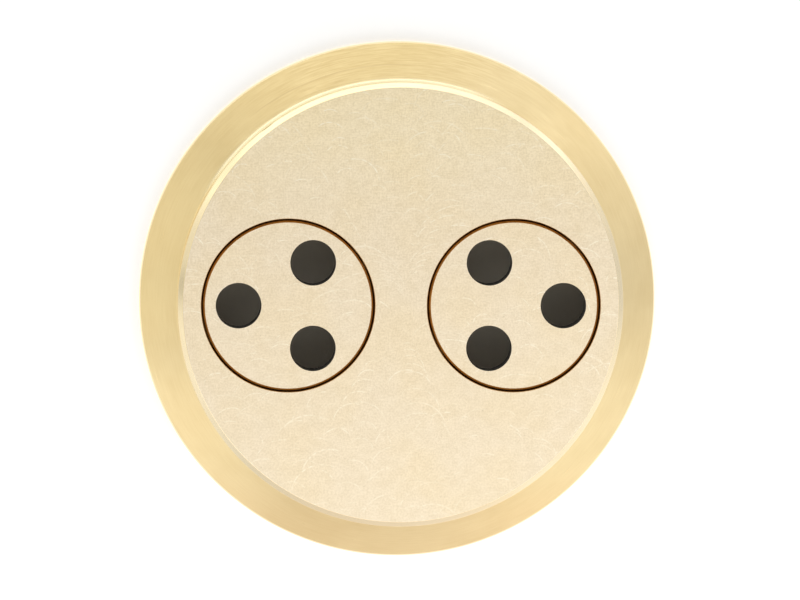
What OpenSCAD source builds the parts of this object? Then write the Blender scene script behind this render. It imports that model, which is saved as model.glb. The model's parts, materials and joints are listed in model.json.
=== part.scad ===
// Round bronze extrusion die for a table-top pasta machine. Two loose inserts
// drop into stepped seats from the back, each with three round outlet holes.
// Millimetres. The origin is the centre of the back (inlet) face, +Z points to
// the front (outlet) face, and the two inserts lie side by side along X.

/* [Die body] */
// Outside diameter of the rim
die_d = 57; // [53:0.5:70]
// Thickness from the back face to the front face
die_t = 9.5; // [8:0.1:14]
// Height of the rim behind the bevel
rim_h = 2.2; // [1:0.1:4]
// Length, on each side, of the broken edge between the rim and the bevel
rim_edge = 0.2; // [0.05:0.05:0.5]
// Width and height of the bright edge around the front face
face_edge = 0.55; // [0.2:0.05:1]
// Height of the raised boss that carries the front face, above the bevel
boss_h = 3.2; // [1.5:0.1:4]
// Metal between a seat and the edge of the front face
face_margin = 2; // [1:0.1:3]
// Chamfer around the back of the rim
back_edge = 0.3; // [0.1:0.05:0.8]

/* [Insert seats] */
// Metal left between the two seats at the back
seat_web = 3.6; // [1.5:0.1:5]
// Width of the shoulder that holds an insert against the dough
shoulder_w = 1.05; // [0.6:0.05:1.6]
// Depth of the shoulder below the back face
seat_depth = 3.6; // [2.5:0.1:5]
// Chamfer on the sharp edges of the seats and inserts
deburr = 0.05; // [0.02:0.01:0.2]

/* [Inserts] */
// Gap around the nose of an insert
nose_gap = 0.2; // [0.1:0.05:0.5]
// Wall of the nose around the dough chamber
nose_wall = 1.1; // [0.6:0.05:1.5]
// Chamfer around the front of an insert
insert_edge = 0.2; // [0.05:0.01:0.3]
// Clearance around the flange in its counterbore
flange_fit = 0.05; // [0.02:0.01:0.15]
// How far the flange stays behind the back face
flange_recess = 0.1; // [0.05:0.05:0.4]

/* [Outlet holes] */
// Diameter of each outlet hole
hole_d = 5; // [3:0.1:6]
// Metal between two neighbouring holes
hole_web = 4.39; // [2:0.01:5]
// Number of holes in each insert
hole_count = 3; // [2:1:4]
// Length of the holes, which is the thickness of the outlet plate
land = 3; // [1.5:0.1:4]
// Countersink at the inlet end of each hole
inlet_edge = 0.2; // [0.1:0.05:0.4]

/* [Dough chambers] */
// Room between the countersinks and the wall of the chamber
chamber_room = 0.08; // [0.05:0.01:0.5]
// How much the chamber widens from the outlet plate to the back
chamber_flare = 0.5; // [0.1:0.05:0.8]

/* [Seal rings] */
// Cord diameter of a seal ring before it is squeezed
ring_cord = 1; // [0.8:0.05:1.5]
// How much the groove squeezes the ring
ring_squeeze = 0.1; // [0.05:0.01:0.2]
// Room on each side of the squeezed ring
ring_room = 0.1; // [0.05:0.01:0.3]

/* [Hidden] */
$fn = 128;

// Length by which a cutter reaches past the surface it opens
past = 1;

// Radii of an insert and its seat, from the holes outwards
hole_circle_r = (hole_d + hole_web) / 2 / sin(180 / hole_count);
chamber_r = hole_circle_r + hole_d / 2 + inlet_edge + chamber_room;
mouth_r = chamber_r + chamber_flare;
nose_r = chamber_r + nose_wall;
pocket_r = nose_r + nose_gap;
seat_r = pocket_r + shoulder_w;
flange_r = seat_r - flange_fit;
seat_x = seat_r + seat_web / 2;

// Radii and heights of the die body
face_r = seat_x + pocket_r + face_margin;
boss_r = face_r + face_edge;
boss_z = die_t - boss_h;
rim_r = die_d / 2;

// Slope of the bevel, between the rim and the foot of the boss
bevel_angle = atan2(boss_z - rim_h, rim_r - boss_r);

// The squeezed ring keeps the area of its cord, and its groove is cut into the flange
ring_h = ring_cord - ring_squeeze;
ring_w = ring_cord * ring_cord / ring_h;
groove_r = seat_r - ring_h;
groove_w = ring_w + 2 * ring_room;
groove_z = (flange_recess + seat_depth) / 2;

// Height of the outlet plate's inner face
plate_z = die_t - land;

BODY_COLOUR = "#dfc68e";
INSERT_COLOUR = "#e6d19c";
SEAL_COLOUR = "#2b2a28";

// Right-hand side at 1, left-hand side at -1
module at_seat(side) {
    translate([side * seat_x, 0, 0])
        rotate([0, 0, side > 0 ? 0 : 180])
            children();
}

// The stepped hole that an insert drops into, with its edges broken
module seat_cut() {
    rotate_extrude()
        polygon([
            [0, -past],
            [seat_r + deburr + past, -past],
            [seat_r, deburr],
            [seat_r, seat_depth],
            [pocket_r, seat_depth],
            [pocket_r, die_t - deburr],
            [pocket_r + deburr + past, die_t + past],
            [0, die_t + past]
        ]);
}

// The turned disc: rim, wide bevel, and the raised boss with its bright edge
module die_blank() {
    rotate_extrude()
        polygon([
            [0, 0],
            [rim_r - back_edge, 0],
            [rim_r, back_edge],
            [rim_r, rim_h - rim_edge],
            [rim_r - rim_edge * cos(bevel_angle), rim_h + rim_edge * sin(bevel_angle)],
            [boss_r, boss_z],
            [boss_r, die_t - face_edge],
            [face_r, die_t],
            [0, die_t]
        ]);
}

module die_body() {
    color(BODY_COLOUR)
        difference() {
            die_blank();
            for (side = [-1, 1])
                at_seat(side) seat_cut();
        }
}

// One outlet hole with its countersunk inlet
module outlet_cut() {
    hole_r = hole_d / 2;
    rotate_extrude()
        polygon([
            [0, plate_z - past],
            [hole_r + inlet_edge + past, plate_z - past],
            [hole_r, plate_z + inlet_edge],
            [hole_r, die_t + past],
            [0, die_t + past]
        ]);
}

// The turned insert: flange with its ring groove, nose, and the chamber behind the plate
module insert_blank() {
    rotate_extrude()
        polygon([
            [mouth_r, flange_recess],
            [flange_r - deburr, flange_recess],
            [flange_r, flange_recess + deburr],
            [flange_r, groove_z - groove_w / 2],
            [groove_r, groove_z - groove_w / 2],
            [groove_r, groove_z + groove_w / 2],
            [flange_r, groove_z + groove_w / 2],
            [flange_r, seat_depth - deburr],
            [flange_r - deburr, seat_depth],
            [nose_r, seat_depth],
            [nose_r, die_t - insert_edge],
            [nose_r - insert_edge, die_t],
            [0, die_t],
            [0, plate_z],
            [chamber_r, plate_z]
        ]);
}

// The first hole of each insert points away from the other insert
module insert(side) {
    color(INSERT_COLOUR)
        at_seat(side)
            difference() {
                insert_blank();
                for (i = [0 : hole_count - 1])
                    rotate([0, 0, i * 360 / hole_count])
                        translate([hole_circle_r, 0, 0])
                            outlet_cut();
            }
}

// Round cord flattened between the bottom of the groove and the seat's wall
module insert_seal(side) {
    color(SEAL_COLOUR)
        at_seat(side)
            translate([0, 0, groove_z])
                rotate_extrude()
                    translate([groove_r + ring_h / 2, 0])
                        intersection() {
                            circle(d = ring_w);
                            square([ring_h, ring_w], center = true);
                        }
}

module insert_left() insert(-1);
module insert_right() insert(1);
module insert_seal_left() insert_seal(-1);
module insert_seal_right() insert_seal(1);

die_body();
insert_left();
insert_right();
insert_seal_left();
insert_seal_right();
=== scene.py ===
# %% [markdown]
# # A bronze extrusion die
#
# A table-top machine presses dough through this disc, and strands leave at the face that we look
# at. On the bench it comes apart into a turned body, two inserts that carry the holes, and a rubber
# ring around each insert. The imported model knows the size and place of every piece, so it is loaded
# first and never moved.

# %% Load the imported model
import json
import math

import bpy
from mathutils import Matrix, Vector


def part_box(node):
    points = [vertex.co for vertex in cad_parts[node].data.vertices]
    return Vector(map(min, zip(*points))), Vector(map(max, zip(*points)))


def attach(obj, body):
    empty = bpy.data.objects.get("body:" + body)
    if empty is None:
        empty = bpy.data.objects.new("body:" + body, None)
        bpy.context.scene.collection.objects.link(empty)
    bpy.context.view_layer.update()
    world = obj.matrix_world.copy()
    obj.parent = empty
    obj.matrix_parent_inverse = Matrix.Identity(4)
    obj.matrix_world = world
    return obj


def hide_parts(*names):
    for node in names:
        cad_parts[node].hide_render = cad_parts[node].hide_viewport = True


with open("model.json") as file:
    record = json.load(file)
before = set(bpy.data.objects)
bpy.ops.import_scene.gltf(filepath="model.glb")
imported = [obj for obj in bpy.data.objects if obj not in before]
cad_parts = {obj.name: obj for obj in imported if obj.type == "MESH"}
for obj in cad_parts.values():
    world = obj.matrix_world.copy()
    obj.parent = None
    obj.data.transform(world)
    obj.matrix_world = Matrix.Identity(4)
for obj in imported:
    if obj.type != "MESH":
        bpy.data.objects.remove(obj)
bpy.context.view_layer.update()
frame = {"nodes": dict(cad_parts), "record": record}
print("packed nodes:", sorted(frame["nodes"]))

# %% [markdown]
# ## Sizes
#
# A maker would measure the die before turning a copy. Here the boxes and mounts of the packed
# pieces are the calliper: they give the rim, the seats and the holes. The few sizes that no box
# shows, such as the height of the boss, are named below, in millimetres times `MM`, because Blender
# works in metres.

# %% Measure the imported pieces
MM = 0.001


def mount(name):
    """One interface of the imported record, by its name."""
    return next(m for m in frame["record"]["mounts"] if m["name"] == name)


def half_width(node):
    """Half of a node's size along X, which is the radius of a round piece."""
    low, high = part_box(node)
    return (high.x - low.x) / 2


def middle(node):
    """The centre of a node's box."""
    low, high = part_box(node)
    return (low + high) / 2


rim = mount("rim")
rim_half_height = rim["dims"]["length_mm"] * MM / 2
back_edge = rim["pos_m"][2] - rim_half_height
rim_top = rim["pos_m"][2] + rim_half_height
rim_r = half_width("die_body")
die_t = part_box("die_body")[1].z
seat_x = middle("insert_right").x
seat_r = half_width("insert_seal_right")
flange_r = half_width("insert_right")
flange_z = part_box("insert_right")[0].z
groove_z = middle("insert_seal_right").z
ring_low, ring_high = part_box("insert_seal_right")
outlet = mount("outlet_right_outer")
hole_r = outlet["dims"]["r_mm"] * MM
hole_circle_r = outlet["pos_m"][0] - seat_x
print(f"rim radius {rim_r / MM:.2f} mm, thickness {die_t / MM:.2f} mm")
print(f"seats at x = {seat_x / MM:.2f} mm, hole radius {hole_r / MM:.2f} mm")

# %% Name the sizes that no box shows
rim_edge = 0.2 * MM
boss_h = 3.2 * MM
foot_round = 0.3 * MM
face_edge = 0.55 * MM
face_margin = 2 * MM
shoulder_w = 1.05 * MM
seat_depth = 3.6 * MM
deburr = 0.05 * MM
nose_gap = 0.2 * MM
nose_wall = 1.1 * MM
insert_edge = 0.2 * MM
chamber_flare = 0.5 * MM
land = 3 * MM
inlet_edge = 0.2 * MM
ring_h = 0.9 * MM
ring_room = 0.1 * MM
hole_count = 3

rim_h = rim_top + rim_edge
pocket_r = seat_r - shoulder_w
nose_r = pocket_r - nose_gap
chamber_r = nose_r - nose_wall
face_r = seat_x + pocket_r + face_margin
boss_r = face_r + face_edge
boss_z = die_t - boss_h
plate_z = die_t - land
groove_r = seat_r - ring_h
groove_half = (ring_high.z - ring_low.z) / 2 + ring_room
print(f"face radius {face_r / MM:.2f} mm, boss radius {boss_r / MM:.2f} mm")
print(f"nose radius {nose_r / MM:.2f} mm, chamber radius {chamber_r / MM:.2f} mm")

# %% [markdown]
# ## The camera
#
# The photograph looks almost straight down on the face, leaning a little towards the top and the
# left, from far away. A long lens at three quarters of a metre gives the same flat perspective. The
# camera is made early, because every later choice is judged through it.

# %% Set up the camera
PHOTO_W = 800
SENSOR_W = 36
focal_px = 6777
camera_distance = 750 * MM
camera_lean = Vector((-0.0577, 0.0954, 1)).normalized()
camera_target = Vector((0.415, -0.287, 0)) * MM

camera_right = (Vector((1, 0, 0)) - camera_lean * camera_lean.x).normalized()
camera_up = camera_lean.cross(camera_right)
camera_place = Matrix((camera_right, camera_up, camera_lean)).transposed().to_4x4()
camera_place.translation = camera_target + camera_lean * camera_distance

camera_data = bpy.data.cameras.new("photo_camera")
camera_data.sensor_width = SENSOR_W
camera_data.lens = focal_px * SENSOR_W / PHOTO_W
camera_data.clip_start = 10 * MM
camera_data.clip_end = 20
camera = bpy.data.objects.new("photo_camera", camera_data)
camera.matrix_world = camera_place
bpy.context.scene.collection.objects.link(camera)
bpy.context.scene.camera = camera
print(f"lens {camera_data.lens:.0f} mm")

# %% [markdown]
# ## Half-sections
#
# Everything here was turned on a lathe, so each piece is one half-section spun round an axis. The
# section could be drawn as a curve by hand. Writing its corners down is clearer: each corner has a
# radius, a height and the small rounding that polishing leaves. Beside each rounding sits a holding
# point, so that smooth shading bends only there and the flats stay flat. The two cutters reach past
# the surfaces that they open.

# %% Round the corners of a half-section
ARC_STEPS = 6
HOLD = 0.03 * MM


def rounded_section(corners):
    """Points of a half-section. Each corner is (radius, height) or (radius, height, rounding)."""
    points = []
    for i, (r, z, *rounding) in enumerate(corners):
        corner = Vector((r, z))
        if not rounding:
            points.append(corner)
            continue
        before = (Vector(corners[i - 1][:2]) - corner).normalized()
        after = (Vector(corners[i + 1][:2]) - corner).normalized()
        half_angle = before.angle(after) / 2
        reach = rounding[0] / math.tan(half_angle)
        centre = corner + (before + after).normalized() * rounding[0] / math.sin(half_angle)
        first = corner + before * reach - centre
        last = corner + after * reach - centre
        start = math.atan2(first.y, first.x)
        sweep = (math.atan2(last.y, last.x) - start + math.pi) % math.tau - math.pi
        points.append(centre + first + before * HOLD)
        for step in range(ARC_STEPS + 1):
            angle = start + sweep * step / ARC_STEPS
            points.append(centre + Vector((math.cos(angle), math.sin(angle))) * rounding[0])
        points.append(centre + last + after * HOLD)
    return points


def section_object(name, corners):
    """A loose line of points in the XZ plane, ready for the lathe."""
    points = rounded_section(corners)
    mesh = bpy.data.meshes.new(name)
    edges = [(i, i + 1) for i in range(len(points) - 1)]
    mesh.from_pydata([(p.x, 0, p.y) for p in points], edges, [])
    section = bpy.data.objects.new(name, mesh)
    bpy.context.scene.collection.objects.link(section)
    print(f"{name}: {len(corners)} corners, {len(points)} points")
    return section


# %% Draw the four half-sections
past = 1 * MM
edge_round = 0.06 * MM
rim_round = 0.5 * MM

body_corners = [
    (0, 0),
    (rim_r - back_edge, 0, edge_round),
    (rim_r, back_edge, edge_round),
    (rim_r, rim_h, rim_round),
    (boss_r, boss_z, foot_round),
    (boss_r, die_t - face_edge, edge_round),
    (face_r, die_t, edge_round),
    (0, die_t),
]
seat_corners = [
    (0, -past),
    (seat_r + deburr + past, -past),
    (seat_r, deburr),
    (seat_r, seat_depth),
    (pocket_r, seat_depth),
    (pocket_r, die_t - deburr),
    (pocket_r + deburr + past, die_t + past),
    (0, die_t + past),
]
insert_corners = [
    (0, plate_z),
    (chamber_r, plate_z, edge_round),
    (chamber_r + chamber_flare, flange_z),
    (flange_r - deburr, flange_z),
    (flange_r, flange_z + deburr),
    (flange_r, groove_z - groove_half),
    (groove_r, groove_z - groove_half),
    (groove_r, groove_z + groove_half),
    (flange_r, groove_z + groove_half),
    (flange_r, seat_depth - deburr),
    (flange_r - deburr, seat_depth),
    (nose_r, seat_depth),
    (nose_r, die_t - insert_edge),
    (nose_r - insert_edge, die_t),
    (0, die_t),
]
hole_corners = [
    (0, plate_z - past),
    (hole_r + inlet_edge + past, plate_z - past),
    (hole_r, plate_z + inlet_edge),
    (hole_r, die_t + past),
    (0, die_t + past),
]
seat_section = section_object("seat_section", seat_corners)
hole_section = section_object("hole_section", hole_corners)

# %% [markdown]
# ## A lathe made of nodes
#
# Blender's Spin tool or a Screw modifier would turn a section too, but a node group can be used
# again inside other trees, with the number of segments as a named input. It lays out a grid with
# one row for each point of the section, turns each column a little further round Z, and merges the
# seam and the poles. Turning clockwise makes the faces look outwards, which the cutting later
# depends on.

# %% Helpers for building node trees
def new_tree(name, wanted):
    """A geometry node tree with the wanted inputs, and the sockets of its two ends."""
    tree = bpy.data.node_groups.new(name, "GeometryNodeTree")
    for label, kind in wanted.items():
        tree.interface.new_socket(label, in_out="INPUT", socket_type="NodeSocket" + kind)
    tree.interface.new_socket("Mesh", in_out="OUTPUT", socket_type="NodeSocketGeometry")
    given = tree.nodes.new("NodeGroupInput").outputs
    result = tree.nodes.new("NodeGroupOutput").inputs["Mesh"]
    return tree, given, result


def put(tree, kind, sockets, out=0, **options):
    """Adds a node, fills its sockets with links or values, and returns one of its outputs."""
    node = tree.nodes.new(kind)
    for option, value in options.items():
        setattr(node, option, value)
    for socket, value in sockets.items():
        if isinstance(value, bpy.types.NodeSocket):
            tree.links.new(value, node.inputs[socket])
        else:
            node.inputs[socket].default_value = value
    return node.outputs[out]


# %% Build the lathe
MERGE = 0.001 * MM


def build_lathe():
    """Turns a half-section in the XZ plane round Z."""
    tree, given, result = new_tree("lathe", {"Section": "Geometry", "Segments": "Int"})
    section = {"Geometry": given["Section"]}
    rows = put(tree, "GeometryNodeAttributeDomainSize", section, out="Point Count")
    columns = put(tree, "FunctionNodeIntegerMath", {0: given["Segments"], 1: 1}, operation="ADD")
    grid = put(tree, "GeometryNodeMeshGrid", {"Vertices X": rows, "Vertices Y": columns})
    index = put(tree, "GeometryNodeInputIndex", {})
    row = put(tree, "FunctionNodeIntegerMath", {0: index, 1: columns}, operation="DIVIDE_FLOOR")
    column = put(tree, "FunctionNodeIntegerMath", {0: index, 1: columns}, operation="MODULO")
    place = put(tree, "GeometryNodeInputPosition", {})
    on_section = put(
        tree,
        "GeometryNodeSampleIndex",
        {"Geometry": given["Section"], "Value": place, "Index": row},
        data_type="FLOAT_VECTOR",
    )
    share = put(tree, "ShaderNodeMath", {0: column, 1: given["Segments"]}, operation="DIVIDE")
    clockwise = put(tree, "ShaderNodeMath", {0: share, 1: -math.tau}, operation="MULTIPLY")
    turned = put(
        tree,
        "ShaderNodeVectorRotate",
        {"Vector": on_section, "Angle": clockwise},
        rotation_type="Z_AXIS",
    )
    bent = put(tree, "GeometryNodeSetPosition", {"Geometry": grid, "Position": turned})
    closed = put(tree, "GeometryNodeMergeByDistance", {"Geometry": bent, "Distance": MERGE})
    tree.links.new(closed, result)
    return tree


lathe = build_lathe()
print("lathe nodes:", len(lathe.nodes))

# %% [markdown]
# ## Turning and boring the body
#
# The real body starts as a disc on the lathe, then moves off centre twice so that each stepped seat
# can be bored from the back. The tree does the same: it turns the blank, sets one seat-shaped
# cutter on each of two points and takes both away. Modelling the bored disc by hand would give the
# same shape, with far more points to keep in line. Edges that turn sharply are marked sharp, so
# flats and roundings shade cleanly.

# %% Finish and convert what a tree makes
SHARP_ANGLE = math.radians(25)


def end_tree(tree, mesh, given, result):
    """Smooth shading with crisp edges, then the two nodes that make the result a plain mesh."""
    smooth = put(tree, "GeometryNodeSetShadeSmooth", {"Geometry": mesh, "Shade Smooth": True})
    fold = put(tree, "GeometryNodeInputMeshEdgeAngle", {})
    crisp = put(tree, "FunctionNodeCompare", {"A": fold, "B": SHARP_ANGLE}, operation="GREATER_THAN")
    marked = put(
        tree,
        "GeometryNodeSetShadeSmooth",
        {"Geometry": smooth, "Selection": crisp, "Shade Smooth": False},
        domain="EDGE",
    )
    real = put(tree, "GeometryNodeRealizeInstances", {"Geometry": marked})
    painted = put(tree, "GeometryNodeSetMaterial", {"Geometry": real, "Material": given["Finish"]})
    tree.links.new(painted, result)


def make_piece(name, corners, tree, values):
    """Runs a tree on a half-section and keeps the result as a plain mesh."""
    piece = section_object(name, corners)
    modifier = piece.modifiers.new("build", "NODES")
    modifier.node_group = tree
    for socket in tree.interface.items_tree:
        if socket.in_out == "INPUT" and socket.name in values:
            modifier[socket.identifier] = values[socket.name]
    evaluated = piece.evaluated_get(bpy.context.evaluated_depsgraph_get())
    piece.data = bpy.data.meshes.new_from_object(evaluated)
    piece.modifiers.clear()
    print(f"{name}: {len(piece.data.polygons)} faces")
    return piece


# %% Build the body's tree
def build_body_tree():
    """Turns the blank, then bores one seat at each end of a line."""
    wanted = {
        "Section": "Geometry",
        "Seat Section": "Object",
        "Seat Offset": "Float",
        "Segments": "Int",
        "Finish": "Material",
    }
    tree, given, result = new_tree("turned_and_bored_body", wanted)
    blank = put(
        tree,
        "GeometryNodeGroup",
        {"Section": given["Section"], "Segments": given["Segments"]},
        node_tree=lathe,
    )
    seat_line = put(tree, "GeometryNodeObjectInfo", {"Object": given["Seat Section"]}, out="Geometry")
    cutter = put(
        tree,
        "GeometryNodeGroup",
        {"Section": seat_line, "Segments": given["Segments"]},
        node_tree=lathe,
    )
    left = put(tree, "ShaderNodeMath", {0: given["Seat Offset"], 1: -1}, operation="MULTIPLY")
    start = put(tree, "ShaderNodeCombineXYZ", {"X": left})
    stop = put(tree, "ShaderNodeCombineXYZ", {"X": given["Seat Offset"]})
    seats = put(
        tree,
        "GeometryNodeMeshLine",
        {"Count": 2, "Start Location": start, "Offset": stop},
        mode="END_POINTS",
    )
    cutters = put(tree, "GeometryNodeInstanceOnPoints", {"Points": seats, "Instance": cutter})
    real = put(tree, "GeometryNodeRealizeInstances", {"Geometry": cutters})
    bored = put(
        tree,
        "GeometryNodeMeshBoolean",
        {"Mesh 1": blank, "Mesh 2": real},
        operation="DIFFERENCE",
        solver="EXACT",
    )
    end_tree(tree, bored, given, result)
    return tree


body_tree = build_body_tree()
print("body nodes:", len(body_tree.nodes))

# %% [markdown]
# ## Turning and drilling the inserts
#
# An insert is turned with its flange, ring groove and dough chamber, then drilled on a small
# circle. Both inserts are one design: the tree is run twice, with the circle of holes turned half a
# turn for the left one. The holes sit on the points of a Mesh Circle, so another count or radius is
# only another input.

# %% Build the insert's tree
def build_insert_tree():
    """Turns the insert, drills its holes and moves it to its seat."""
    wanted = {
        "Section": "Geometry",
        "Hole Section": "Object",
        "Hole Count": "Int",
        "Hole Circle": "Float",
        "First Hole": "Float",
        "Seat Offset": "Float",
        "Segments": "Int",
        "Hole Segments": "Int",
        "Finish": "Material",
    }
    tree, given, result = new_tree("turned_and_drilled_insert", wanted)
    blank = put(
        tree,
        "GeometryNodeGroup",
        {"Section": given["Section"], "Segments": given["Segments"]},
        node_tree=lathe,
    )
    hole_line = put(tree, "GeometryNodeObjectInfo", {"Object": given["Hole Section"]}, out="Geometry")
    drill = put(
        tree,
        "GeometryNodeGroup",
        {"Section": hole_line, "Segments": given["Hole Segments"]},
        node_tree=lathe,
    )
    circle = put(
        tree,
        "GeometryNodeMeshCircle",
        {"Vertices": given["Hole Count"], "Radius": given["Hole Circle"]},
    )
    drills = put(tree, "GeometryNodeInstanceOnPoints", {"Points": circle, "Instance": drill})
    real = put(tree, "GeometryNodeRealizeInstances", {"Geometry": drills})
    drilled = put(
        tree,
        "GeometryNodeMeshBoolean",
        {"Mesh 1": blank, "Mesh 2": real},
        operation="DIFFERENCE",
        solver="EXACT",
    )
    turn = put(tree, "ShaderNodeCombineXYZ", {"Z": given["First Hole"]})
    seat = put(tree, "ShaderNodeCombineXYZ", {"X": given["Seat Offset"]})
    seated = put(
        tree,
        "GeometryNodeTransform",
        {"Geometry": drilled, "Rotation": turn, "Translation": seat},
    )
    end_tree(tree, seated, given, result)
    return tree


insert_tree = build_insert_tree()
print("insert nodes:", len(insert_tree.nodes))

# %% [markdown]
# ## Patterns for the metal
#
# The finishes share a few patterns. All of them read Object coordinates, which are the die's own
# millimetres once they are scaled, so a pattern has a real size and stays put when the camera
# moves. An image could hold the scratches, but a pattern made of nodes has no edge and no
# resolution.

# %% Helpers for vectors in a tree
LEVEL = (1, 1, 0)


def on_vectors(tree, operation, *values):
    """One sum on vectors."""
    return put(tree, "ShaderNodeVectorMath", dict(enumerate(values)), operation=operation)


def length(tree, vector):
    """How long a vector is."""
    return put(tree, "ShaderNodeVectorMath", {0: vector}, out="Value", operation="LENGTH")


def reach_along(tree, vector, direction):
    """How far a vector reaches along a direction."""
    sockets = {0: vector, 1: direction}
    return put(tree, "ShaderNodeVectorMath", sockets, out="Value", operation="DOT_PRODUCT")


def scaled(tree, vector, size):
    """A vector made longer or shorter."""
    return put(tree, "ShaderNodeVectorMath", {0: vector, "Scale": size}, operation="SCALE")


def split(tree, vector):
    """The X, Y and Z of a vector."""
    node = tree.nodes.new("ShaderNodeSeparateXYZ")
    tree.links.new(vector, node.inputs[0])
    return node.outputs


def bearing(azimuth):
    """The level direction at an azimuth in degrees, counted from +X."""
    turn = math.radians(azimuth)
    return Vector((math.cos(turn), math.sin(turn), 0))


# %% Helpers for materials
def new_finish(name, **constants):
    """A material, its tree, its shader's inputs and the die's own coordinates in millimetres."""
    material = bpy.data.materials.new(name)
    material.use_nodes = True
    tree = material.node_tree
    shader = tree.nodes["Principled BSDF"]
    for socket, value in constants.items():
        shader.inputs[socket.replace("_", " ").title()].default_value = value
    place = put(tree, "ShaderNodeTexCoord", {}, out="Object")
    return material, tree, shader.inputs, scaled(tree, place, 1 / MM)


def spread(tree, value, low, high, to_low=0.0, to_high=1.0):
    """Stretches a value softly from one range to another."""
    sockets = {"Value": value, 1: low, 2: high, 3: to_low, 4: to_high}
    return put(tree, "ShaderNodeMapRange", sockets, interpolation_type="SMOOTHSTEP")


def calculate(tree, operation, *values):
    """One sum on plain numbers."""
    return put(tree, "ShaderNodeMath", dict(enumerate(values)), operation=operation)


def mix_colours(tree, share, first, second, way="MIX"):
    """Blends two colours by a share from 0 to 1."""
    sockets = {0: share, 6: first, 7: second}
    return put(tree, "ShaderNodeMix", sockets, out=2, data_type="RGBA", blend_type=way)


def noise(tree, place, scale, detail=3.0, roughness=0.5):
    """Soft random values around one half."""
    sockets = {"Vector": place, "Scale": scale, "Detail": detail, "Roughness": roughness}
    return put(tree, "ShaderNodeTexNoise", sockets)


def bump(tree, height, depth, strength=1.0):
    """A normal that follows a height pattern of a real depth."""
    return put(tree, "ShaderNodeBump", {"Height": height, "Distance": depth, "Strength": strength})


# %% Pattern of short arc scratches
SMALLEST_ARC = 0.3
LARGEST_ARC = 0.62
FAINTEST_ARC = 0.3


def arc_scratches(tree, flat, cell, width, tilt):
    """Thin arcs that bulge upwards, about one in each cell, as a mask from 0 to 1."""
    cells = tree.nodes.new("ShaderNodeTexVoronoi")
    cells.voronoi_dimensions = "2D"
    cells.inputs["Scale"].default_value = 1 / cell
    tree.links.new(flat, cells.inputs["Vector"])
    luck = tree.nodes.new("ShaderNodeSeparateColor")
    tree.links.new(cells.outputs["Color"], luck.inputs[0])
    size, strength, lean = luck.outputs
    away = on_vectors(tree, "SUBTRACT", flat, cells.outputs["Position"])
    radius = spread(tree, size, 0, 1, SMALLEST_ARC * cell, LARGEST_ARC * cell)
    from_line = calculate(tree, "ABSOLUTE", calculate(tree, "SUBTRACT", length(tree, away), radius))
    line = spread(tree, from_line, 0, width, 1, 0)
    sideways = spread(tree, lean, 0, 1, tilt - 0.5, tilt + 0.5)
    upward = put(tree, "ShaderNodeCombineXYZ", {"X": sideways, "Y": 1.0})
    facing = reach_along(tree, on_vectors(tree, "NORMALIZE", away), upward)
    arc = calculate(tree, "MULTIPLY", line, spread(tree, facing, 0.6, 0.9))
    return calculate(tree, "MULTIPLY", arc, spread(tree, strength, 0, 1, FAINTEST_ARC, 1))


# %% Pattern of turning marks
STREAKS_ROUND = 9


def turning_marks(tree, in_mm, pitch):
    """Fine streaks round the axis, as a tool leaves them, from 0 to 1."""
    flat = on_vectors(tree, "MULTIPLY", in_mm, LEVEL)
    around = split(tree, scaled(tree, on_vectors(tree, "NORMALIZE", flat), STREAKS_ROUND))
    across = calculate(tree, "SUBTRACT", length(tree, flat), split(tree, in_mm)["Z"])
    along = calculate(tree, "MULTIPLY", across, 1 / pitch)
    ringed = put(tree, "ShaderNodeCombineXYZ", {"X": along, "Y": around["X"], "Z": around["Y"]})
    return noise(tree, ringed, 1.0, detail=4, roughness=0.65)


# %% [markdown]
# ## The satin face
#
# The outlet face was lapped flat by hand. It is pale and satin, with a fine grain that runs both
# ways like a weave, thin bright arcs where the grit slid, and a few dark specks. One layer of arcs
# would look too even, so nine layers of different sizes lie over each other, broken up here and
# there and fainter towards the bottom. Colour and roughness follow the same patterns, so the marks
# catch the light instead of looking painted on.

# %% Lay the arcs over each other
BREAKS_PER_MM = 2.2
FAINTER_MM = (-14, 4)
LAYER_SHIFT = Vector((3, 1, 0))
FIRST_ARCS = (7.2, 0.11, 0.1)
MORE_ARCS = (
    (6.4, 0.1, -0.15),
    (8.0, 0.1, 0.2),
    (9.4, 0.11, 0.0),
    (5.6, 0.09, 0.1),
    (10.4, 0.11, -0.1),
    (4.8, 0.09, 0.15),
    (4.2, 0.08, 0.0),
    (3.6, 0.08, -0.1),
)


def lapping_arcs(tree, flat, high_side):
    """All the layers of arcs, each with the size of its cells, its line width and its tilt."""
    arcs = arc_scratches(tree, flat, *FIRST_ARCS)
    for cell, width, tilt in MORE_ARCS:
        moved = on_vectors(tree, "ADD", flat, LAYER_SHIFT * cell)
        arcs = calculate(tree, "MAXIMUM", arcs, arc_scratches(tree, moved, cell, width, tilt))
    broken = spread(tree, noise(tree, flat, BREAKS_PER_MM, detail=3), 0.36, 0.6, 0.05, 1)
    fainter = spread(tree, high_side, *FAINTER_MM, 0.72, 1)
    return calculate(tree, "MULTIPLY", calculate(tree, "MULTIPLY", arcs, broken), fainter)


# %% Make the satin face
GRAIN_PER_MM = 4.6
SPECKS_PER_MM = 2.4
PATCHES_PER_MM = 0.8
CLOUDS_PER_MM = 0.11
WEAVE_PER_MM = ((1.3, 7, 0), (7, 1.3, 0))
CALMER_MM = (-20, 10)
TOP_LIGHT_MM = (5, 24)
ARC_SMOOTHS = 0.06
GRAIN_DEPTH = 0.006 * MM
WARM_CLOUD = (1, 0.985, 0.94, 1)
PAINTED_TOP_LIGHT = (1.055, 1.06, 0.985, 1)
ARC_PALE = (0.99, 0.91, 0.73, 1)
SPECK_BROWN = (0.5, 0.4, 0.24, 1)


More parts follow.
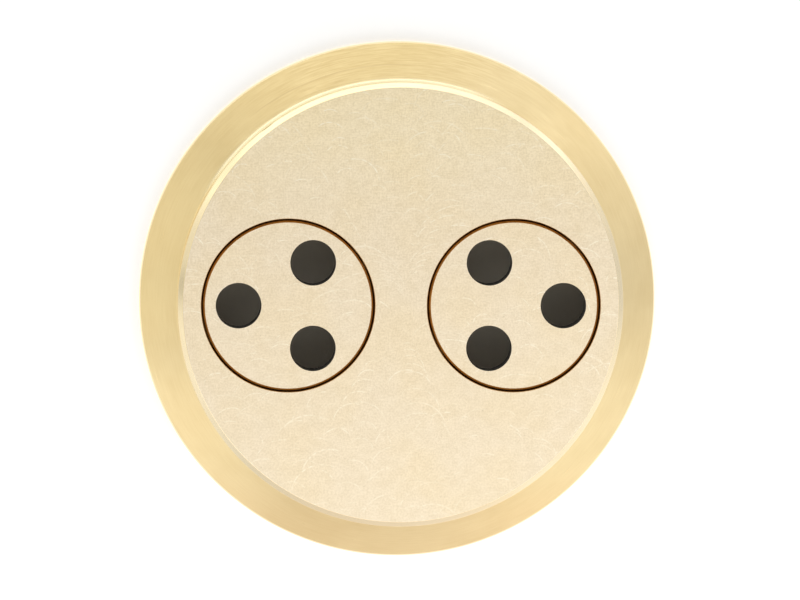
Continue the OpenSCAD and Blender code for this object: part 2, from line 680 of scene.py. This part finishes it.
def satin_face(name, pale, deep, seed):
    """Lapped metal: grain, weave, arc scratches and specks."""
    material, tree, shader, in_mm = new_finish(name, metallic=1.0)
    high_side = split(tree, in_mm)["Y"]
    shifted = on_vectors(tree, "ADD", in_mm, (seed, seed / 2, 0))
    flat = on_vectors(tree, "MULTIPLY", shifted, LEVEL)
    grain = noise(tree, flat, GRAIN_PER_MM, detail=3, roughness=0.7)
    threads = [noise(tree, on_vectors(tree, "MULTIPLY", flat, way), 1.0) for way in WEAVE_PER_MM]
    woven = spread(tree, calculate(tree, "ADD", *threads), 0.7, 1.3, -0.25, 0.25)
    patchy = spread(tree, noise(tree, flat, PATCHES_PER_MM, detail=2), 0.3, 0.7, -0.14, 0.14)
    cloud = spread(tree, noise(tree, flat, CLOUDS_PER_MM, detail=2), 0.35, 0.65)
    speck = spread(tree, noise(tree, flat, SPECKS_PER_MM, detail=1), 0.72, 0.8, 0, 0.3)
    arcs = lapping_arcs(tree, flat, high_side)

    tone = calculate(tree, "ADD", spread(tree, grain, 0.32, 0.68, 0.1, 0.9), patchy)
    calmer = spread(tree, high_side, *CALMER_MM, 0.4, 1)
    tone = calculate(tree, "ADD", tone, calculate(tree, "MULTIPLY", woven, calmer))
    colour = mix_colours(tree, tone, deep, pale)
    colour = mix_colours(tree, cloud, colour, WARM_CLOUD, way="MULTIPLY")
    # Painted light: the upper part of the face is tinted paler, standing in for brighter light there.
    top_light = spread(tree, high_side, *TOP_LIGHT_MM)
    colour = mix_colours(tree, top_light, colour, PAINTED_TOP_LIGHT, way="MULTIPLY")
    colour = mix_colours(tree, arcs, colour, ARC_PALE)
    tree.links.new(mix_colours(tree, speck, colour, SPECK_BROWN), shader["Base Color"])
    rough = spread(tree, grain, 0.3, 0.7, 0.36, 0.46)
    rough = calculate(tree, "SUBTRACT", rough, calculate(tree, "MULTIPLY", arcs, ARC_SMOOTHS))
    tree.links.new(rough, shader["Roughness"])
    tree.links.new(bump(tree, grain, GRAIN_DEPTH), shader["Normal"])
    return material


LAPPED_PALE = (0.91, 0.785, 0.59, 1)
face_metal = satin_face("satin_face", LAPPED_PALE, (0.78, 0.655, 0.46, 1), seed=0.0)
insert_metal = satin_face("satin_insert", LAPPED_PALE, (0.785, 0.66, 0.465, 1), seed=31.0)
print("satin face nodes:", len(face_metal.node_tree.nodes))

# %% [markdown]
# ## Turned metal
#
# The bevel and the rim keep the rings of the turning tool, so their shine is stretched across the
# rings. That is what the shader's anisotropy is for: it is turned a quarter, because the rings run
# round the axis. The narrow edge of the boss is the same metal, polished. Some light is painted into
# the colour of these metals: the streaks are painted clearest at the top and faint elsewhere, where
# brighter light washes them out; the bottom gets a painted warm reflection; and the wall of the boss
# carries a pale painted highlight at the top, which is also made smoother there. The upper left is
# tinted more golden. One mesh with painted colours could hold this too, but a mask that grows
# towards an azimuth needs no map.

# %% Find the sides that differ
STREAKS_AT = 92
GOLDEN_AT = 135
WALL_HIGHLIGHT_AT = 107


def reach_towards(tree, in_mm, azimuth):
    """How far a place lies towards an azimuth, 1 at the edge of the boss."""
    return reach_along(tree, in_mm, bearing(azimuth) * MM / boss_r)


def wall_highlight_mask(tree, in_mm):
    """A mask of the boss's wall, from its foot to the bright edge, at the top, where a pale highlight
    is painted.
    """
    height = split(tree, in_mm)["Z"]
    foot, top = boss_z / MM, (die_t - face_edge) / MM
    above_foot = spread(tree, height, foot - 0.4, foot)
    below_edge = spread(tree, height, top - 0.3, top, 1, 0)
    highlight_side = spread(tree, reach_towards(tree, in_mm, WALL_HIGHLIGHT_AT), 0.68, 0.86)
    return calculate(tree, "MULTIPLY", calculate(tree, "MULTIPLY", above_foot, below_edge), highlight_side)


# %% Make the turned and polished metals
QUARTER_TURN = 0.25
SLOW_CLOUDS_PER_MM = 0.14
WARM_REFLECTION_MM = (-25, -16)
WALL_HIGHLIGHT_ROUGHNESS = 0.35
PAINTED_WALL_HIGHLIGHT = (0.98, 0.89, 0.6, 1)
PAINTED_WARM_REFLECTION = (1, 0.95, 0.92, 1)
GOLDER = (1, 0.985, 0.9, 1)


def turned_metal(name, light, dark, pitch, roughness, anisotropic, depth):
    """Metal with streaks from the turning tool, a slow cloudiness and the sides that differ."""
    material, tree, shader, in_mm = new_finish(
        name, metallic=1.0, anisotropic=anisotropic, anisotropic_rotation=QUARTER_TURN
    )
    rings = turning_marks(tree, in_mm, pitch)
    # Painted light: the streaks fade away from the top, standing in for brighter light that washes
    # them out.
    clear = spread(tree, reach_towards(tree, in_mm, STREAKS_AT), 0.84, 1.1, 0.3, 1.1)
    streaks = calculate(tree, "MULTIPLY", spread(tree, rings, 0.3, 0.7, -0.5, 0.5), clear)
    cloud = spread(tree, noise(tree, in_mm, SLOW_CLOUDS_PER_MM), 0.3, 0.7, 0.25, 0.75)
    colour = mix_colours(tree, calculate(tree, "ADD", streaks, cloud), dark, light)
    # Painted reflection: the bottom is tinted warmer, as if it mirrored something warm below.
    reflected_warmth = spread(tree, split(tree, in_mm)["Y"], *WARM_REFLECTION_MM, 1, 0)
    colour = mix_colours(tree, reflected_warmth, colour, PAINTED_WARM_REFLECTION, way="MULTIPLY")
    golden = spread(tree, reach_towards(tree, in_mm, GOLDEN_AT), 0.3, 0.9)
    colour = mix_colours(tree, golden, colour, GOLDER, way="MULTIPLY")
    # Painted highlight: a pale colour on the wall of the boss at the top, with lower roughness there.
    highlight_band = wall_highlight_mask(tree, in_mm)
    tree.links.new(mix_colours(tree, highlight_band, colour, PAINTED_WALL_HIGHLIGHT), shader["Base Color"])
    rough = spread(tree, rings, 0.25, 0.75, roughness * 1.15, roughness * 0.85)
    smoother = spread(tree, highlight_band, 0, 1, 1, WALL_HIGHLIGHT_ROUGHNESS)
    tree.links.new(calculate(tree, "MULTIPLY", rough, smoother), shader["Roughness"])
    tree.links.new(bump(tree, rings, depth, clear), shader["Normal"])
    return material


bevel_metal = turned_metal(
    "turned_bevel",
    light=(0.93, 0.75, 0.42, 1),
    dark=(0.83, 0.645, 0.335, 1),
    pitch=0.22,
    roughness=0.32,
    anisotropic=0.7,
    depth=0.002 * MM,
)
edge_metal = turned_metal(
    "polished_edge",
    light=(0.955, 0.82, 0.57, 1),
    dark=(0.915, 0.765, 0.5, 1),
    pitch=0.15,
    roughness=0.14,
    anisotropic=0.3,
    depth=0.0005 * MM,
)
back_metal = turned_metal(
    "faced_back",
    light=(0.86, 0.71, 0.43, 1),
    dark=(0.74, 0.58, 0.31, 1),
    pitch=0.25,
    roughness=0.36,
    anisotropic=0.7,
    depth=0.004 * MM,
)
print("turned metals:", bevel_metal.name, edge_metal.name, back_metal.name)

# %% [markdown]
# ## Two small marks
#
# A used die is never perfect. Something hard once struck the edge of the boss at the upper left,
# and at the top the tool dwelt a moment and scribed a fine line round the bevel. Both are far too
# shallow to cut into the mesh, so each is a small mask that darkens the finish that is already
# there.

# %% Darken a place on a finished metal
def colour_so_far(material):
    """The tree of a finished metal, its colour socket and what is linked to it now."""
    socket = material.node_tree.nodes["Principled BSDF"].inputs["Base Color"]
    return material.node_tree, socket, socket.links[0].from_socket


# %% Knock a small nick into the edge of the boss
NICK_BROWN = (0.42, 0.32, 0.17, 1)
NICK_SIZE = Vector((0.16, 1.2, 0.2)) * MM


def add_nick(material, azimuth, height):
    """Darkens a short stroke on the edge of the boss."""
    tree, socket, colour = colour_so_far(material)
    place = put(tree, "ShaderNodeTexCoord", {}, out="Object")
    away = on_vectors(tree, "SUBTRACT", place, bearing(azimuth) * boss_r + Vector((0, 0, height)))
    sockets = {"Vector": away, "Angle": -math.radians(azimuth)}
    turned = put(tree, "ShaderNodeVectorRotate", sockets, rotation_type="Z_AXIS")
    distance = length(tree, on_vectors(tree, "DIVIDE", turned, NICK_SIZE))
    mask = spread(tree, distance, 0.5, 1, 1, 0)
    tree.links.new(mix_colours(tree, mask, colour, NICK_BROWN), socket)
    print(f"nick at {azimuth} degrees")


add_nick(edge_metal, azimuth=127, height=die_t - face_edge - 0.05 * MM)

# %% Scribe a fine line into the bevel
LINE_BROWN = (0.72, 0.53, 0.26, 1)
LINE_WIDTH = 0.11 * MM
LINE_STRENGTH = 0.45
LINE_FULL = 0.6


def add_scribed_line(material, azimuth, reach, radius):
    """Darkens a thin line round part of the bevel, faded towards its ends."""
    tree, socket, colour = colour_so_far(material)
    place = put(tree, "ShaderNodeTexCoord", {}, out="Object")
    flat = on_vectors(tree, "MULTIPLY", place, LEVEL)
    from_line = calculate(tree, "ABSOLUTE", calculate(tree, "SUBTRACT", length(tree, flat), radius))
    line = spread(tree, from_line, 0, LINE_WIDTH, LINE_STRENGTH, 0)
    facing = reach_along(tree, on_vectors(tree, "NORMALIZE", flat), bearing(azimuth))
    end, full = (math.cos(math.radians(angle)) for angle in (reach, reach * LINE_FULL))
    mask = calculate(tree, "MULTIPLY", line, spread(tree, facing, end, full))
    tree.links.new(mix_colours(tree, mask, colour, LINE_BROWN), socket)
    print(f"line at radius {radius / MM:.1f} mm")


add_scribed_line(bevel_metal, azimuth=107, reach=24, radius=26.1 * MM)

# %% [markdown]
# ## Tarnished metal, painted shade and rubber
#
# Inside the seats and the chambers no cloth ever polishes, so the bronze there has gone brown and
# dull. The bores are painted almost black and matt, a painted shade for the dark holes. The seal
# rings are plain black rubber with a faint moulded grain. All of them are the same kind of uneven,
# matt surface, so one function makes them.

# %% Make the tarnished metal and the rubber
UNEVEN = 0.08


def dull_finish(name, light, dark, metallic, roughness, scale, depth):
    """An uneven, matt surface."""
    material, tree, shader, in_mm = new_finish(name, metallic=metallic)
    stain = noise(tree, in_mm, scale, detail=5, roughness=0.6)
    share = spread(tree, stain, 0.3, 0.7)
    tree.links.new(mix_colours(tree, share, dark, light), shader["Base Color"])
    rough = spread(tree, stain, 0.3, 0.7, roughness + UNEVEN, roughness - UNEVEN)
    tree.links.new(rough, shader["Roughness"])
    tree.links.new(bump(tree, stain, depth), shader["Normal"])
    return material


seat_metal = dull_finish(
    "tarnished_seat",
    light=(0.7, 0.42, 0.14, 1),
    dark=(0.55, 0.28, 0.07, 1),
    metallic=1.0,
    roughness=0.45,
    scale=0.9,
    depth=0.004 * MM,
)
seam_metal = dull_finish(
    "tarnished_edge",
    light=(0.58, 0.29, 0.06, 1),
    dark=(0.42, 0.18, 0.03, 1),
    metallic=1.0,
    roughness=0.5,
    scale=0.9,
    depth=0.004 * MM,
)
chamber_metal = dull_finish(
    "tarnished_chamber",
    light=(0.44, 0.32, 0.17, 1),
    dark=(0.3, 0.2, 0.09, 1),
    metallic=1.0,
    roughness=0.5,
    scale=0.7,
    depth=0.004 * MM,
)
# Painted shade: the bore walls are painted almost black, standing in for the shade inside the holes.
bore_painted_shade = dull_finish(
    "painted_shade_bore",
    light=(0.09, 0.083, 0.066, 1),
    dark=(0.06, 0.055, 0.043, 1),
    metallic=0.0,
    roughness=0.75,
    scale=1.4,
    depth=0.006 * MM,
)
ring_rubber = dull_finish(
    "seal_rubber",
    light=(0.03, 0.03, 0.028, 1),
    dark=(0.016, 0.016, 0.015, 1),
    metallic=0.0,
    roughness=0.6,
    scale=5.0,
    depth=0.01 * MM,
)
print("materials:", len(bpy.data.materials))

# %% [markdown]
# ## Making the pieces
#
# Now the trees run. Each result becomes a plain mesh, and each face is then given the finish of the
# surface it belongs to, found from where the face lies and which way it looks. The pieces stand for
# the imported solids and ride on the die's one body. The seal rings are hidden in their grooves, so
# the imported rings stay as they are and only get their rubber.

# %% Give each face its finish
FLAT = 0.999
NEAR = 0.01 * MM


def dress(piece, finishes, choose):
    """Fills the material slots and picks one for each face."""
    piece.data.materials.clear()
    for material in finishes:
        piece.data.materials.append(material)
    order = {material.name: i for i, material in enumerate(finishes)}
    for face in piece.data.polygons:
        face.material_index = order[choose(face.center, face.normal).name]


def hand_over(piece, node):
    """Hides the imported node that the piece stands for and sets the piece on the die's one body."""
    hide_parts(node)
    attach(piece, "root")


# %% Make the body
SEGMENTS = 288


def body_finish(centre, normal):
    """The finish of a face of the body."""
    from_seat = math.hypot(abs(centre.x) - seat_x, centre.y)
    if abs(normal.z) > FLAT and centre.z > die_t - NEAR:
        return face_metal
    if abs(normal.z) > FLAT and centre.z < NEAR:
        return back_metal
    if from_seat < seat_r + deburr:
        return seat_metal
    on_rim = centre.z < rim_h + rim_round / 2
    if centre.z > boss_z + foot_round or on_rim:
        return edge_metal
    return bevel_metal


body = make_piece(
    "bronze_body",
    body_corners,
    body_tree,
    {"Seat Section": seat_section, "Seat Offset": seat_x, "Segments": SEGMENTS, "Finish": bevel_metal},
)
dress(body, [bevel_metal, face_metal, edge_metal, back_metal, seat_metal], body_finish)
hand_over(body, "die_body")

# %% Make the two inserts
HOLE_SEGMENTS = 96
INSERTS = (
    ("insert_disc_left", "insert_left", -seat_x, math.pi),
    ("insert_disc_right", "insert_right", seat_x, 0.0),
)


def insert_finish(centre, normal):
    """The finish of a face of an insert."""
    from_axis = math.hypot(abs(centre.x) - seat_x, centre.y)
    if centre.z > die_t - NEAR:
        return insert_metal
    if normal.z < -FLAT and centre.z < flange_z + NEAR:
        return back_metal
    if from_axis > nose_r - insert_edge:
        return seam_metal if centre.z > die_t - insert_edge else seat_metal
    return chamber_metal if centre.z < plate_z + NEAR else bore_painted_shade


for name, node, offset, first_hole in INSERTS:
    values = {
        "Hole Section": hole_section,
        "Hole Count": hole_count,
        "Hole Circle": hole_circle_r,
        "First Hole": first_hole,
        "Seat Offset": offset,
        "Segments": SEGMENTS,
        "Hole Segments": HOLE_SEGMENTS,
        "Finish": insert_metal,
    }
    insert = make_piece(name, insert_corners, insert_tree, values)
    finishes = [insert_metal, back_metal, seat_metal, seam_metal, chamber_metal, bore_painted_shade]
    dress(insert, finishes, insert_finish)
    hand_over(insert, node)

# %% Dress the seal rings and clear the drawing board
for node in ("insert_seal_left", "insert_seal_right"):
    ring = frame["nodes"][node]
    ring.data.materials.clear()
    ring.data.materials.append(ring_rubber)
for section in (seat_section, hole_section):
    bpy.data.objects.remove(section)

# %% [markdown]
# ## Floor
#
# The die lies on its back on a plain white floor. A photographer lights a white background a little
# more than the object, so that it comes out clean. The floor does that with a faint glow of its
# own, which only the camera and the shiny metal see. It still takes the die's shadow, and under the
# die its colour is darkened as painted shade. What the metal mirrors is shaped a little more: a bright
# ring near the rim, a dimmer middle, two white cards at the lower right and a bright distance.

# %% Shape what the metal mirrors
FLOOR_GLOW = 0.45
POOL_MM = (55, 110)
FAR_MM = (200, 450)
RING_MM = (rim_r / MM + 1, rim_r / MM + 8)
CARDS_MM = (((118, -50, 0), 0.34), ((48, -47, 0), 0.26))
CARD_FADE_MM = (15, 50)


def mirrored_glow(tree, in_mm, from_axis):
    """The glow of the floor for the shiny metal: a pool, a bright distance, a ring and the cards."""
    pool = spread(tree, from_axis, *POOL_MM, FLOOR_GLOW, 0.08)
    far = spread(tree, from_axis, *FAR_MM, 0, 0.35)
    ring = spread(tree, from_axis, *RING_MM, 0.2, 0)
    glow = calculate(tree, "ADD", calculate(tree, "ADD", pool, far), ring)
    for place, strength in CARDS_MM:
        from_card = length(tree, on_vectors(tree, "SUBTRACT", in_mm, place))
        glow = calculate(tree, "ADD", glow, spread(tree, from_card, *CARD_FADE_MM, strength, 0))
    return glow


# %% Lay the floor
FLOOR_HALF = 3
PAPER_PER_MM = 0.05
PAPER_DIM = (0.68, 0.68, 0.68, 1)
PAPER_WHITE = (0.7, 0.7, 0.7, 1)
PAINTED_SHADE_UNDER_DIE = (0.66, 0.61, 0.5, 1)
UNDERCUT = 3 * MM


def make_floor():
    """A wide white plane under the die."""
    material, tree, shader, in_mm = new_finish("white_floor", metallic=0.0, roughness=0.9)
    paper = spread(tree, noise(tree, in_mm, PAPER_PER_MM, detail=2), 0.3, 0.7)
    white = mix_colours(tree, paper, PAPER_DIM, PAPER_WHITE)
    from_axis = length(tree, in_mm)
    open_floor = spread(tree, from_axis, (rim_r - UNDERCUT) / MM, rim_r / MM)
    # Painted shade: the floor's colour is darker under the die's footprint.
    tree.links.new(mix_colours(tree, open_floor, PAINTED_SHADE_UNDER_DIE, white), shader["Base Color"])
    rays = tree.nodes.new("ShaderNodeLightPath").outputs
    mirrored = mirrored_glow(tree, in_mm, from_axis)
    mirrored = calculate(tree, "MULTIPLY", rays["Is Glossy Ray"], mirrored)
    seen = calculate(tree, "MAXIMUM", rays["Is Camera Ray"], rays["Is Transmission Ray"])
    glow = calculate(tree, "MULTIPLY_ADD", seen, FLOOR_GLOW, mirrored)
    tree.links.new(calculate(tree, "MULTIPLY", glow, open_floor), shader["Emission Strength"])
    shader["Emission Color"].default_value = (1, 1, 1, 1)
    mesh = bpy.data.meshes.new("floor")
    corners = [(-1, -1, 0), (1, -1, 0), (1, 1, 0), (-1, 1, 0)]
    mesh.from_pydata([Vector(corner) * FLOOR_HALF for corner in corners], [], [(0, 1, 2, 3)])
    mesh.materials.append(material)
    floor = bpy.data.objects.new("floor", mesh)
    bpy.context.scene.collection.objects.link(floor)
    print(f"floor {2 * FLOOR_HALF} m wide")


make_floor()

# %% [markdown]
# ## Light
#
# Bronze shows what it reflects. The flat face sees what hangs overhead, the bevel and the bright
# edge see the horizon. Lamps all round would do, but their hard ends show in the polished edge. So
# the world is a light tent: even, with soft patches of light at the places where the edge and the
# bevel are bright in the photograph. One softbox close to the lower side makes the face brighter
# towards the bottom.

# %% Shape one soft patch of the tent
FULL_SHARE = 0.4


def soft_patch(tree, heading, up, azimuth, half_angle, lowest, highest):
    """A mask of a patch round an azimuth and between two elevations, all in degrees."""
    side, full = (math.cos(math.radians(a)) for a in (half_angle, half_angle * FULL_SHARE))
    beside = spread(tree, reach_along(tree, heading, bearing(azimuth)), side, full)
    soft = (highest - lowest) / 4
    limits = (lowest - soft, lowest + soft, highest - soft, highest + soft)
    heights = [math.sin(math.radians(limit)) for limit in limits]
    above = spread(tree, up, heights[0], heights[1])
    below = spread(tree, up, heights[2], heights[3], 1, 0)
    return calculate(tree, "MULTIPLY", calculate(tree, "MULTIPLY", beside, above), below)


# %% Put up the light tent
LOW_SKY = 0.45
MIDDLE_SKY = 0.75
TOP_SKY = 0.72
LOW_TO_MIDDLE = (0.15, 0.5)
MIDDLE_TO_TOP = (0.7, 0.95)
PATCHES = (
    ((89, 80, 1, 10), 1.3),
    ((162, 20, 0, 8), 0.45),
    ((142, 28, 12, 45), -0.25),
    ((320, 36, -2, 35), 0.26),
    ((222, 24, 4, 38), 0.6),
    ((206, 29, -2, 7), 0.7),
    ((174, 26, 10, 40), 0.38),
    ((27, 24, -2, 5), 0.9),
)


def light_tent():
    """An even world with soft patches: where each one hangs, and how strong it is."""
    world = bpy.data.worlds.new("light_tent")
    world.use_nodes = True
    tree = world.node_tree
    towards = put(tree, "ShaderNodeTexCoord", {}, out="Generated")
    heading = on_vectors(tree, "NORMALIZE", on_vectors(tree, "MULTIPLY", towards, LEVEL))
    up = split(tree, towards)["Z"]
    sky = spread(tree, up, *LOW_TO_MIDDLE, LOW_SKY, MIDDLE_SKY)
    change = spread(tree, up, *MIDDLE_TO_TOP, 0, TOP_SKY - MIDDLE_SKY)
    sky = calculate(tree, "ADD", sky, change)
    for place, strength in PATCHES:
        patch = soft_patch(tree, heading, up, *place)
        sky = calculate(tree, "ADD", sky, calculate(tree, "MULTIPLY", patch, strength))
    background = tree.nodes["Background"].inputs
    tree.links.new(sky, background["Strength"])
    background["Color"].default_value = (1, 1, 1, 1)
    bpy.context.scene.world = world
    print("patches of light:", len(PATCHES))


light_tent()

# %% Hang the lamp
def softbox(name, azimuth, elevation, distance, width, height, brightness):
    """A rectangular lamp that faces the die, in metres. Its power grows with its area."""
    lamp = bpy.data.lights.new(name, "AREA")
    lamp.shape = "RECTANGLE"
    lamp.size = width
    lamp.size_y = height
    lamp.energy = brightness * math.pi * width * height
    box = bpy.data.objects.new(name, lamp)
    lift = math.radians(elevation)
    heading = bearing(azimuth) * math.cos(lift) + Vector((0, 0, math.sin(lift)))
    box.location = heading * distance
    box.rotation_euler = heading.to_track_quat("Z", "Y").to_euler()
    box.visible_camera = False
    bpy.context.scene.collection.objects.link(box)
    print(f"{name}: {lamp.energy:.3f} W")


softbox("face_lamp", azimuth=-75, elevation=55, distance=0.25, width=0.4, height=0.25, brightness=0.74)
bpy.context.scene.view_settings.view_transform = "Standard"
